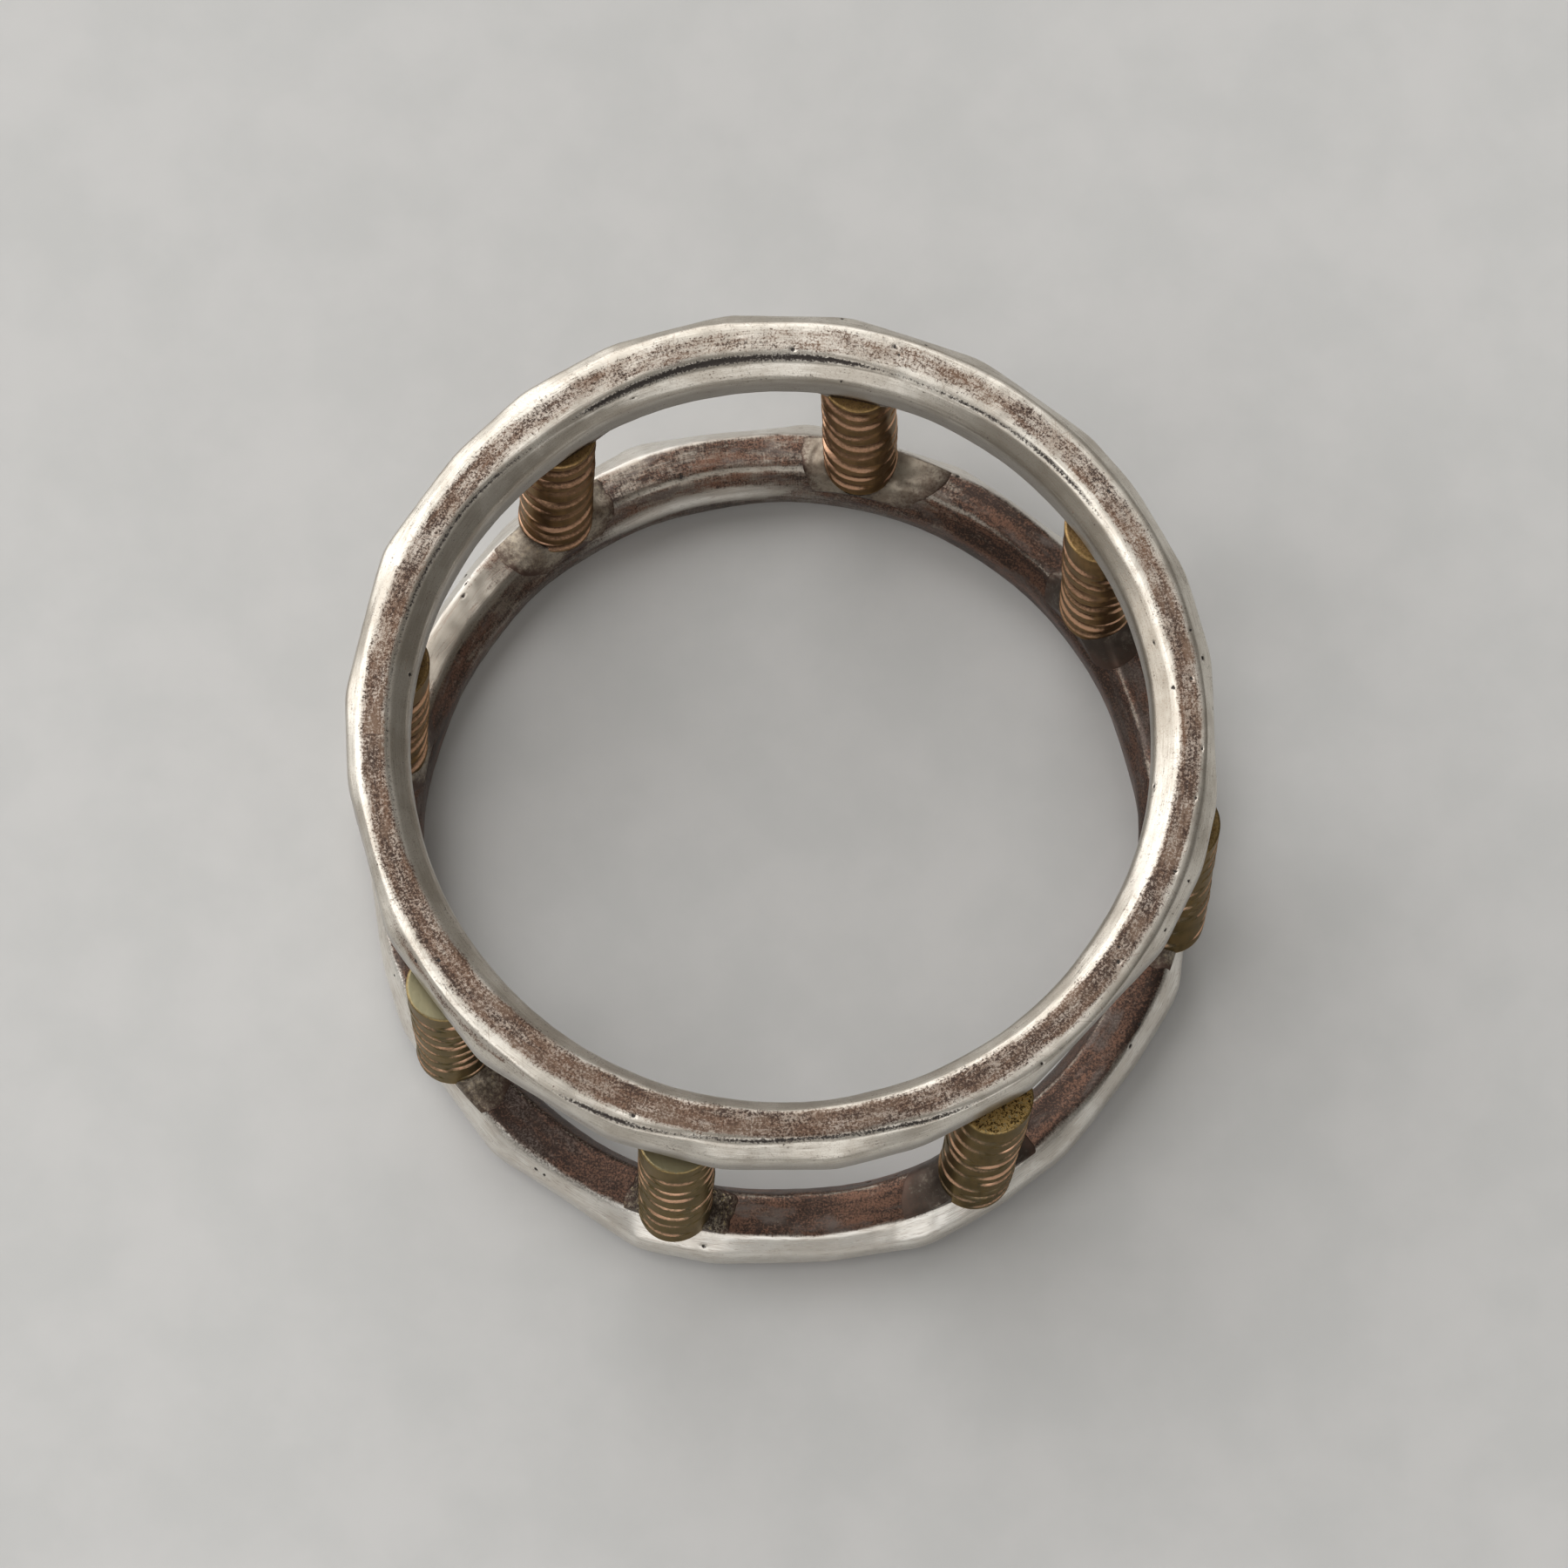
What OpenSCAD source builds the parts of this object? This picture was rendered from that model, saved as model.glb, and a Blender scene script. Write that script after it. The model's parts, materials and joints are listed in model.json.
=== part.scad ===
// Finger ring: two hand-forged hoops held apart by eight grooved rods.
// Frame: +Z along the finger hole, origin on its axis at the face that the ring rests on.

/* [Size] */
// Inside diameter of both hoops, which is the finger size
bore_d = 17.3; // [16:0.1:20]
// Height of each hoop
hoop_h = 1.85; // [1.6:0.05:2.2]
// Clear height between the hoops, which is the length of the rods
gap_h = 8; // [6:0.5:10]

/* [Hoops] */
// Largest radial wall of the upper hoop
upper_wall = 1.7; // [1.68:0.01:1.8]
// Largest radial wall of the lower hoop, which is forged less round
lower_wall = 1.93; // [1.9:0.01:2]
// Leg of the bevel that is filed round the outside of the upper hoop
upper_bevel = 0.55; // [0.3:0.05:0.6]
// Leg of the bevel that is filed round the outside of the lower hoop
lower_bevel = 0.7; // [0.5:0.05:0.75]
// Radius of the rounded inner edges
inner_round = 0.28; // [0.2:0.02:0.3]
// Radius of the cutter that leaves the seam line on the top of the upper hoop
seam_r = 0.07; // [0.04:0.01:0.1]
// How far the seam line lies outside the bore
seam_inset = 0.42; // [0.38:0.01:0.5]
// Angle from +X where the seam line starts
seam_from = 40; // [20:1:60]
// Angle from +X where the seam line ends
seam_to = 145; // [120:1:160]

/* [Posts] */
// Diameter of the rods
post_d = 1.78; // [1.6:0.02:1.9]
// Radius of the circle that the rods stand on
post_circle_r = 9.42; // [9.4:0.01:9.5]
// Height between two file cuts on one rod
cut_pitch = 0.86; // [0.8:0.02:1.2]
// Depth of a file cut
cut_depth = 0.07; // [0.04:0.01:0.1]
// Radius of the file that makes the cuts
cut_r = 0.13; // [0.1:0.01:0.2]
// How far round a rod an average cut runs, in degrees
cut_spread = 130; // [100:5:150]

/* [Solder] */
// How far the solder spreads from a rod
solder_spread = 0.3; // [0.2:0.02:0.4]
// How far the solder climbs a rod
solder_climb = 0.32; // [0.2:0.02:0.4]
// Depth of the pools of solder beside a rod
pool_h = 0.16; // [0.1:0.01:0.18]
// How far outside a rod's surface the middle of a pool lies
pool_shift = 0.3; // [0.2:0.02:0.4]

/* [Hidden] */
$fn = 96;
SMALL_FN = 20;
POSTS = 8;

bore_r = bore_d / 2;
post_r = post_d / 2;
upper_z = hoop_h + gap_h;
middle_z = hoop_h + gap_h / 2;
total_h = 2 * hoop_h + gap_h;
// Gap that lets a leaning rod pass through its solder's straight hole
rod_clearance = 0.02;
// Width of the solder's edge where it ends on a rod
collar_lip = 0.1;
// How much the pools on a rod's two sides differ in radius, as a part of it
POOL_SKEW = 0.15;
// How far the hand moves a cut up or down a rod, and round it and along it in degrees
HEIGHT_SCATTER = 0.1;
TURN_SCATTER = 22;
SPREAD_SCATTER = 20;
// How far a shape that cuts another runs past it
overrun = 0.5;
// Radius that holds everything
reach = bore_r + 2 * post_d;
// Band that the solder can lie on, a little inside the flat of a hoop's face
land_in = bore_r + inner_round + 0.03;
land_out = bore_r + min(upper_wall - upper_bevel, lower_wall - lower_bevel) - 0.07;

// Corners between the forged flats of each hoop: [angle from +X, wall at the corner]
upper_corners = [
    [11, 1.60], [23, 1.66], [37, 1.66], [45, 1.66], [63, 1.68], [81, 1.68], [97, 1.68],
    [113, 1.68], [126, 1.68], [138, 1.64], [154, 1.72], [174, 1.60], [186, 1.50], [207, 1.62],
    [227, 1.66], [247, 1.60], [262, 1.58], [277, 1.56], [289, 1.48], [305, 1.44], [331, 1.52],
    [343, 1.62], [352, 1.62]
];
lower_corners = [
    [6, 1.60], [24, 1.56], [45, 1.62], [65, 1.66], [86, 1.82], [110, 1.90], [130, 1.76],
    [152, 1.56], [176, 1.52], [198, 1.44], [207, 1.58], [228, 1.70], [251, 1.90], [261, 1.84],
    [277, 1.72], [289, 1.88], [301, 1.74], [311, 1.66], [327, 1.52], [339, 1.62]
];

// Each rod: [angle from +X, radial offset, sideways lean, outward lean, radius of its solder pools]
post_place = [
    [78.5, 0.04, -0.5, -1.5, 0.95],
    [124.3, 0.1, 1, -1.7, 0.75],
    [167, 0.12, 0.5, -2.2, 0.6],
    [214.7, 0.13, -1.5, 1, 0.8],
    [254.9, 0.08, -0.9, 0, 0.7],
    [300, 0.18, -2.7, 0.6, 0.75],
    [348.5, 0.13, -2.6, 0, 0.6],
    [36.3, 0.02, 0.8, -1.2, 0.7]
];

// A number from -1 to 1 that scatters the hand-made cuts
function scatter(a, b) = sin(137 * a + 61 * b + 17 * a * b);

// Point of a hoop's outline
function corner_point(c) = (bore_r + c[1]) * [cos(c[0]), sin(c[0])];

// Section of the bar that a hoop is made from: rounded inner edges, bevelled outer edges
module hoop_section(wall, bevel) {
    outer_r = bore_r + wall;
    translate([bore_r, inner_round])
        square([inner_round, hoop_h - 2 * inner_round]);
    for (z = [inner_round, hoop_h - inner_round])
        translate([bore_r + inner_round, z])
            circle(r = inner_round);
    polygon([
        [bore_r + inner_round, 0],
        [outer_r - bevel, 0],
        [outer_r, bevel],
        [outer_r, hoop_h - bevel],
        [outer_r - bevel, hoop_h],
        [bore_r + inner_round, hoop_h]
    ]);
}

// A hoop with a true round bore and forged flats outside, standing on Z = 0
module hoop(corners, wall, bevel) {
    intersection() {
        rotate_extrude()
            hoop_section(wall, bevel);
        linear_extrude(hoop_h)
            polygon([for (c = corners) corner_point(c)]);
    }
}

// Shallow line cut along part of the top of a hoop
module seam_line(line_r, from, to) {
    translate([0, 0, total_h])
        rotate(from)
            rotate_extrude(angle = to - from)
                translate([line_r, 0])
                    circle(r = seam_r, $fn = SMALL_FN);
}

module lower_hoop() {
    color("rosybrown")
        hoop(lower_corners, lower_wall, lower_bevel);
}

module upper_hoop() {
    color("silver")
        difference() {
            translate([0, 0, upper_z])
                hoop(upper_corners, upper_wall, upper_bevel);
            seam_line(bore_r + seam_inset, seam_from, seam_to);
        }
}

// Puts its children in a rod's own frame, with the rod's middle at the origin
module at_post(i) {
    place = post_place[i];
    rotate(place[0])
        translate([post_circle_r + place[1], 0, middle_z])
            rotate([place[2], place[3], 0])
                children();
}

// A plain rod, ended by the two hoops' faces
module rod(i) {
    intersection() {
        at_post(i)
            cylinder(h = gap_h + 2 * overrun, r = post_r, center = true);
        translate([-reach, -reach, hoop_h])
            cube([2 * reach, 2 * reach, gap_h]);
    }
}

// One file cut: an arc of a round groove on the rod's surface, centred on a facing
module file_cut(z, facing, spread) {
    translate([0, 0, z])
        rotate(facing - spread / 2)
            rotate_extrude(angle = spread)
                translate([post_r + cut_r - cut_depth, 0])
                    circle(r = cut_r, $fn = SMALL_FN);
}

// The file cuts of a rod, on the side that faces out and on the side that faces the finger
module file_cuts(i) {
    cuts = floor((gap_h - 2 * solder_climb) / cut_pitch) - 1;
    first = -cut_pitch * (cuts - 1) / 2;
    for (side = [0, 1], k = [0 : cuts - 1]) {
        staggered = first + k * cut_pitch + (side - 0.5) * cut_pitch / 2;
        height = staggered + HEIGHT_SCATTER * scatter(k, i + 9 * side);
        facing = 180 * side + TURN_SCATTER * scatter(i + 3, k + 5 * side);
        file_cut(height, facing, cut_spread + SPREAD_SCATTER * scatter(k + 2, i));
    }
}

module post(i) {
    color("darkgoldenrod")
        difference() {
            rod(i);
            at_post(i)
                file_cuts(i);
        }
}

// Where a leaning rod's axis meets a hoop: end is -1 at its foot and 1 at its head
function end_shift(i, end) =
    let (sideways = post_place[i][2], outward = post_place[i][3])
    end * gap_h / 2 * [tan(outward), -tan(sideways) / cos(outward), 0];

// Outline of the solder round a rod's end: a ring and a pool on each side
module solder_outline(i) {
    pool_r = post_place[i][4];
    circle(r = post_r + solder_spread);
    for (side = [-1, 1])
        translate([0, side * (post_r + pool_shift)])
            circle(r = pool_r * (1 + POOL_SKEW * side));
}

// Solder round the end of a rod, lying on Z = 0: a low pool, and a collar that climbs the rod
module solder_shape(i) {
    difference() {
        union() {
            linear_extrude(pool_h)
                solder_outline(i);
            translate([0, 0, pool_h])
                cylinder(h = solder_climb - pool_h, r1 = post_r + solder_spread, r2 = post_r + collar_lip);
        }
        translate([0, 0, -solder_climb])
            cylinder(h = 3 * solder_climb, r = post_r + rod_clearance);
    }
}

// Solder on one hoop's face, cut to the flat of that face
module solder(i, end) {
    place = post_place[i];
    face_z = middle_z + end * gap_h / 2;
    color("darkgray")
        intersection() {
            rotate(place[0])
                translate([post_circle_r + place[1], 0, face_z])
                    translate(end_shift(i, end))
                        mirror([0, 0, end > 0 ? 1 : 0])
                            solder_shape(i);
            difference() {
                cylinder(h = total_h, r = land_out);
                translate([0, 0, -overrun])
                    cylinder(h = total_h + 2 * overrun, r = land_in);
            }
        }
}

lower_hoop();
upper_hoop();
for (i = [1 : POSTS])
    post(i - 1);
for (i = [1 : POSTS])
    solder(i - 1, -1);
for (i = [1 : POSTS])
    solder(i - 1, 1);
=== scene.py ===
import json
import math
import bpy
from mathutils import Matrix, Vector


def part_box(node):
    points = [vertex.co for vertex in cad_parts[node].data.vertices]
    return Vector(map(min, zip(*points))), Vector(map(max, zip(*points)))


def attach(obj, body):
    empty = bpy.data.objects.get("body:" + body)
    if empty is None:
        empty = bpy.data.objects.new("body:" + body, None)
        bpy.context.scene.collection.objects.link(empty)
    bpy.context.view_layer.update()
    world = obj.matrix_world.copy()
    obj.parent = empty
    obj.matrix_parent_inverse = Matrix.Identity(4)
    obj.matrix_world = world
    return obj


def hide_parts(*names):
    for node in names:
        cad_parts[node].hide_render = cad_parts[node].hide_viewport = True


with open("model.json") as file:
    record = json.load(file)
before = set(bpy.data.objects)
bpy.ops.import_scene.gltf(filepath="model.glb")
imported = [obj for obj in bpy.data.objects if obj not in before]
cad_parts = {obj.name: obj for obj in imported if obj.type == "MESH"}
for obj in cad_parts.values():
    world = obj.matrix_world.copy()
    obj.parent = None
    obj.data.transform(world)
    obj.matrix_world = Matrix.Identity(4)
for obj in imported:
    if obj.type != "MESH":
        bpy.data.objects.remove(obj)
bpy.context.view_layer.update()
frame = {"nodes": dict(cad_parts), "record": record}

from types import SimpleNamespace

import bpy
import numpy as np
from mathutils import Vector
from mathutils.geometry import convex_hull_2d

# A finger ring: two hand-forged silver hoops held apart by eight file-cut gold rods, with solder at
# both ends of each rod. Shapes are worked out in millimetres and made in metres.

MM = 0.001
POSTS = 8
TURN = 2 * math.pi


# ---------------------------------------------------------------- measures taken from the frame


def record_mount(name):
    """The record's mount of that name."""
    return next(m for m in frame["record"]["mounts"] if m["name"] == name)


def box_mm(node):
    """Lowest and highest corner of a CAD node, in millimetres."""
    low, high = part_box(node)
    return np.array(low) / MM, np.array(high) / MM


def node_points(node):
    """Vertices of a CAD node, in millimetres."""
    return np.array([v.co for v in frame["nodes"][node].data.vertices]) / MM


BORE_R = record_mount("finger_bore")["dims"]["r_mm"]
HOOP_H = box_mm("lower_hoop")[1][2]
UPPER_Z = box_mm("upper_hoop")[0][2]
GAP_H = UPPER_Z - HOOP_H


# ---------------------------------------------------------------- small maths


def rotated(angle):
    """Unit vectors at these angles, one row each."""
    return np.stack([np.cos(angle), np.sin(angle)], -1)


def smooth_step(low, high, x):
    """0 below low, 1 above high, smooth between."""
    t = np.clip((x - low) / (high - low), 0, 1)
    return t * t * (3 - 2 * t)


def bell_weights(steps, reach):
    """Offsets from -reach to reach, and their weights in a bell-shaped blur of that many steps."""
    offsets = np.arange(-reach, reach + 1)
    weights = np.exp(-0.5 * (offsets / steps) ** 2)
    return offsets, weights / weights.sum()


def soften_round(values, steps):
    """Smooths a closed run of values over about that many steps."""
    blur = zip(*bell_weights(steps, 3 * steps))
    return sum(weight * np.roll(values, offset, 0) for offset, weight in blur)


def around(theta, knots):
    """A value round a hoop, eased between (degrees, value) knots."""
    angles = np.radians([angle for angle, _ in knots])
    values = np.array([value for _, value in knots])
    angles = np.concatenate([angles - TURN, angles, angles + TURN])
    return soften_round(np.interp(theta, angles, np.tile(values, 3)), 8)


def bump_at(x, width):
    """A smooth bump of height 1 at x = 0."""
    return np.exp(-((x / width) ** 2))


def angle_between(a, b):
    """Signed angle from b to a, from -pi to pi."""
    return (a - b + math.pi) % TURN - math.pi


def arc_window(theta, start, end, soft):
    """1 between two angles in degrees, 0 outside, with soft ends."""
    middle = math.radians((start + end) / 2)
    half = math.radians((end - start) / 2)
    return 1 - smooth_step(half - math.radians(soft), half, np.abs(angle_between(theta, middle)))


def ripple(theta, seed, low, high):
    """Random wave round a circle with whole numbers of waves from low to high, mostly from -1 to 1."""
    rng = np.random.default_rng(seed)
    total = np.zeros_like(theta)
    for waves in range(low, high + 1):
        total += rng.normal() * np.cos(waves * theta + rng.uniform(0, TURN))
    return total / math.sqrt(high - low + 1)


def dents(theta, along, seed, count, low, high, stretch):
    """Random soft unevenness over a skin: count waves, each with low to high - 1 turns round theta."""
    rng = np.random.default_rng(seed)
    total = np.zeros_like(theta)
    for _ in range(count):
        waves = rng.integers(low, high)
        across = rng.integers(-3, 4) * stretch
        total += np.cos(waves * theta + across * along + rng.uniform(0, TURN))
    return total / math.sqrt(count / 2)


# ---------------------------------------------------------------- meshes


def grid_faces(rows, columns, wrap_rows, wrap_columns):
    """Quads of a grid of vertices numbered row by row."""
    i = np.arange(rows if wrap_rows else rows - 1)
    j = np.arange(columns if wrap_columns else columns - 1)
    i, j = np.meshgrid(i, j, indexing="ij")
    below, right = (i + 1) % rows, (j + 1) % columns
    corners = [i * columns + j, i * columns + right, below * columns + right, below * columns + j]
    return np.stack(corners, -1).reshape(-1, 4)


def make_piece(name, points, faces, attributes, material, node):
    """A smooth mesh piece from points in millimetres, standing for a CAD node."""
    mesh = bpy.data.meshes.new(name)
    mesh.from_pydata((points * MM).tolist(), [], faces)
    for key, values in attributes.items():
        layer = mesh.attributes.new(key, "FLOAT", "POINT")
        layer.data.foreach_set("value", np.ascontiguousarray(values, np.float32).ravel())
    mesh.polygons.foreach_set("use_smooth", [True] * len(mesh.polygons))
    mesh.materials.append(material)
    piece = bpy.data.objects.new(name, mesh)
    bpy.context.scene.collection.objects.link(piece)
    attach(piece, "root")
    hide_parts(node)
    return piece


# ---------------------------------------------------------------- building node trees


def rgb(red, green, blue):
    """A linear colour, as the shaders take it."""
    return (red, green, blue, 1.0)


class Nodes:
    """A node tree, built by short calls."""

    def __init__(self, tree):
        self.tree = tree

    def node(self, kind, inputs=None, **settings):
        """Adds a node; inputs that are sockets are linked, and others are set."""
        made = self.tree.nodes.new(kind)
        for key, value in settings.items():
            setattr(made, key, value)
        for key, value in (inputs or {}).items():
            self.feed(made.inputs[key], value)
        return made

    def feed(self, socket, value):
        """Links a socket to another one, or sets it to a plain value."""
        if isinstance(value, bpy.types.NodeSocket):
            self.tree.links.new(value, socket)
        else:
            socket.default_value = value

    def math(self, operation, a, b=0.0):
        """One operation of the Math node."""
        return self.node("ShaderNodeMath", {0: a, 1: b}, operation=operation).outputs[0]

    def sum(self, *weighted):
        """Sum of (value, weight) pairs."""
        total = None
        for value, weight in weighted:
            term = self.math("MULTIPLY", value, weight)
            total = term if total is None else self.math("ADD", total, term)
        return total

    def stepped(self, value, low, high, to_low=0.0, to_high=1.0):
        """value from low to high, mapped smoothly on to_low to to_high."""
        inputs = {"Value": value, "From Min": low, "From Max": high, "To Min": to_low, "To Max": to_high}
        made = self.node("ShaderNodeMapRange", inputs, interpolation_type="SMOOTHSTEP")
        return made.outputs["Result"]

    def mixed(self, factor, a, b):
        """Colour a where factor is 0 and b where it is 1."""
        made = self.node("ShaderNodeMix", data_type="RGBA")
        self.feed(made.inputs["Factor"], factor)
        self.feed(made.inputs["A"], a)
        self.feed(made.inputs["B"], b)
        return made.outputs["Result"]


class Shader(Nodes):
    """A material's node tree, with the object's coordinates in millimetres."""

    def __init__(self, name):
        self.material = bpy.data.materials.new(name)
        self.material.use_nodes = True
        super().__init__(self.material.node_tree)
        self.surface = self.tree.nodes["Principled BSDF"]

    def finished(self, colour, roughness, metallic=0.0, normal=None):
        """Feeds the surface, and gives the finished material."""
        self.feed(self.surface.inputs["Base Color"], colour)
        self.feed(self.surface.inputs["Roughness"], roughness)
        self.feed(self.surface.inputs["Metallic"], metallic)
        if normal is not None:
            self.feed(self.surface.inputs["Normal"], normal)
        return self.material

    def attribute(self, name):
        """A mesh's own value at each point, by name."""
        return self.node("ShaderNodeAttribute", attribute_name=name).outputs["Fac"]

    def noise(self, vector, scale, detail=3.0, roughness=0.55):
        """Soft noise, mostly near 0.5."""
        inputs = {"Vector": vector, "Scale": scale, "Detail": detail, "Roughness": roughness}
        return self.node("ShaderNodeTexNoise", inputs).outputs["Fac"]

    def scaled(self, vector, factors):
        """A vector times three factors."""
        return self.node("ShaderNodeVectorMath", {0: vector, 1: factors}, operation="MULTIPLY").outputs[0]

    def place(self):
        """Position in millimetres in the ring's frame."""
        position = self.node("ShaderNodeTexCoord").outputs["Object"]
        return self.scaled(position, (1 / MM, 1 / MM, 1 / MM))

    def round_place(self):
        """Position as (length round the ring, radius, height), in millimetres."""
        parts = self.node("ShaderNodeSeparateXYZ", {0: self.place()})
        x, y, z = parts.outputs
        length = self.math("MULTIPLY", self.math("ARCTAN2", y, x), BORE_R + 0.8)
        squares = self.math("ADD", self.math("MULTIPLY", x, x), self.math("MULTIPLY", y, y))
        radius = self.math("SQRT", squares)
        return self.node("ShaderNodeCombineXYZ", {0: length, 1: radius, 2: z}).outputs[0]

    def scratches(self, vector, degrees, length, width, rarity):
        """Thin scattered lines at an angle to the first axis of vector: 1 on a line, 0 off it."""
        turn = (0.0, 0.0, math.radians(degrees))
        inputs = {"Vector": vector, "Rotation": turn}
        turned = self.node("ShaderNodeVectorRotate", inputs, rotation_type="EULER_XYZ").outputs[0]
        streak = self.noise(self.scaled(turned, (1 / length, 1 / width, 1 / width)), 1.0, 1.0, 0.3)
        return self.stepped(streak, rarity, rarity + 0.05)

    def bump(self, height, strength, depth_mm, under=None):
        """A normal that height bends by up to a depth, on top of the normal under it."""
        inputs = {"Height": height, "Strength": strength, "Distance": depth_mm * MM}
        if under is not None:
            inputs["Normal"] = under
        return self.node("ShaderNodeBump", inputs).outputs["Normal"]


# ---------------------------------------------------------------- silver

# tan of tarnished silver, also laid on as a painted dim reflection
TARNISH_AND_DIM_REFLECTION = rgb(0.23, 0.197, 0.155)
CREASE_BLACK = rgb(0.058, 0.050, 0.046)

# bright and worn are the bare metal. oxides are the light, dark and third brown of its coat, and
# coat_metallic and coat_rough are that coat's gloss. scratch_turns are degrees from the hoop's
# length. speckled and drawn_out say how far the coat breaks up into specks, and into streaks along
# the hoop.
UPPER_SILVER = {
    "bright": rgb(0.70, 0.66, 0.59),
    "worn": rgb(0.52, 0.475, 0.41),
    "oxides": (rgb(0.205, 0.118, 0.074), rgb(0.050, 0.028, 0.020), rgb(0.215, 0.138, 0.093)),
    "coat_metallic": 0.55,
    "coat_rough": 0.50,
    "scratch_turns": (62, -48),
    "speckled": 2.5,
    "drawn_out": 0.7,
}
LOWER_SILVER = {
    "bright": rgb(0.90, 0.87, 0.81),
    "worn": rgb(0.74, 0.69, 0.62),
    "oxides": (rgb(0.195, 0.102, 0.068), rgb(0.042, 0.028, 0.023), rgb(0.140, 0.112, 0.098)),
    "coat_metallic": 0.85,
    "coat_rough": 0.32,
    "scratch_turns": (4, -9),
    "speckled": 0.8,
    "drawn_out": 0.3,
}


def silver_patterns(s, look):
    """The patterns that the silver's colour, gloss and grain share."""
    place, ring_place = s.place(), s.round_place()
    lines = [s.scratches(ring_place, turn, 1.1, 0.026, 0.655) for turn in look["scratch_turns"]]
    return SimpleNamespace(
        ring_place=ring_place,
        patina=s.attribute("patina"),
        cloud=s.noise(place, 0.9, 3.0),
        speckle=s.noise(place, 18.0, 3.0, 0.8),
        blotch=s.noise(s.scaled(ring_place, (1.3, 4.0, 4.0)), 1.0, 5.0, 0.65),
        cross=s.noise(s.scaled(ring_place, (23.0, 2.6, 2.6)), 1.0, 3.0, 0.6),
        drawn=s.noise(s.scaled(ring_place, (1.3, 26.0, 26.0)), 1.0, 4.0, 0.6),
        lines=s.math("MAXIMUM", *lines),
    )


def oxide_coat(s, p, look):
    """How much of the silver the brown coat covers, from 0 to 1, rubbed off along the scratches."""
    speckled, drawn_out = look["speckled"], look["drawn_out"]
    weighted = [(p.blotch, 1.6), (p.speckle, speckled), (p.cross, 0.6), (p.drawn, drawn_out)]
    middle = sum(weight for _, weight in weighted) / 2
    scatter = s.sum(*weighted, (p.lines, -0.12))
    level = s.math("ADD", p.patina, s.math("SUBTRACT", scatter, middle))
    return s.stepped(level, 0.25, 0.80, 0.0, 0.97)


def bare_silver(s, p, look):
    """Colour of the bare metal: bright and worn by turns, stained near the coat, tan where tarnished and
    where a dim reflection is painted.
    """
    streaked = s.sum((p.cloud, 0.6), (p.drawn, 0.4))
    tone = s.mixed(s.stepped(streaked, 0.40, 0.60), look["bright"], look["worn"])
    stain = s.stepped(s.sum((p.patina, 1.0), (p.blotch, 0.8), (-1, 0.4)), 0.10, 0.75, 0.0, 0.55)
    tone = s.mixed(stain, tone, look["oxides"][0])
    # tan where tarnished, and as a painted dim reflection
    return s.mixed(s.math("MULTIPLY", s.attribute("tarnish_and_dim_reflection"), 0.80), tone, TARNISH_AND_DIM_REFLECTION)


def oxide_colour(s, p, look):
    """Colour of the brown coat, speckled and in broad patches."""
    light, dark, third = look["oxides"]
    broad = s.noise(s.scaled(p.ring_place, (0.45, 2.2, 2.2)), 1.0, 5.0, 0.6)
    other = s.noise(s.scaled(p.ring_place, (0.6, 1.5, 1.5)), 1.3, 4.0, 0.6)
    oxide = s.mixed(s.stepped(s.sum((broad, 0.45), (p.speckle, 0.55)), 0.43, 0.56), light, dark)
    return s.mixed(s.stepped(other, 0.48, 0.66), oxide, third)


def silver_normal(s, p, coat, look):
    """Fine drawn grain and scratches, and a slightly rusty skin on the coat."""
    fine = s.bump(s.sum((p.drawn, look["drawn_out"]), (p.cross, 0.4), (p.lines, -0.30)), 0.5, 0.006)
    rust = s.math("MULTIPLY", p.speckle, s.math("ADD", coat, 0.15))
    return s.bump(rust, 0.5, 0.006, fine)


def silver_material(name, look):
    """Hand-worked silver: bare metal, an oxidised coat where patina is high, dark creases."""
    s = Shader(name)
    p = silver_patterns(s, look)
    light, dark, _ = look["oxides"]
    coat = oxide_coat(s, p, look)
    colour = s.mixed(coat, bare_silver(s, p, look), oxide_colour(s, p, look))
    colour = s.mixed(s.math("MULTIPLY", p.lines, 0.30), colour, light)
    # painted shade: darkens the colour towards the dark oxide where the shade values say, broken up by the
    # speckle
    shade = s.math("MULTIPLY", s.attribute("shade"), s.stepped(p.speckle, 0.40, 0.60, 0.30, 1.30))
    colour = s.mixed(shade, colour, dark)
    ragged = s.math("ADD", s.attribute("dark"), s.sum((p.speckle, 1.6), (-1, 0.8)))
    deep = s.math("MULTIPLY", s.stepped(ragged, 0.25, 0.60), s.stepped(s.attribute("dark"), 0.05, 0.30))
    colour = s.mixed(deep, colour, CREASE_BLACK)
    coat_rough = s.stepped(coat, 0.0, 1.0, 0.22, look["coat_rough"])
    rough = s.sum((coat_rough, 1.0), (p.drawn, 0.16), (deep, 0.25))
    metallic = s.stepped(coat, 0.0, 1.0, 1.0, look["coat_metallic"])
    return s.finished(colour, rough, metallic, silver_normal(s, p, coat, look))


# ---------------------------------------------------------------- gold, solder and floor

OLIVE_LIGHT = rgb(0.155, 0.124, 0.070)
OLIVE_DARK = rgb(0.085, 0.079, 0.050)
COPPER_LIGHT = rgb(0.235, 0.140, 0.080)
COPPER_DARK = rgb(0.110, 0.067, 0.043)
HEAD_FLAT = rgb(0.34, 0.315, 0.20)
# dark red-brown of the file cuts, laid on as painted shade in them and on the heads under the upper hoop
CUT_BROWN_AND_SHADE = rgb(0.045, 0.020, 0.013)
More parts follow.
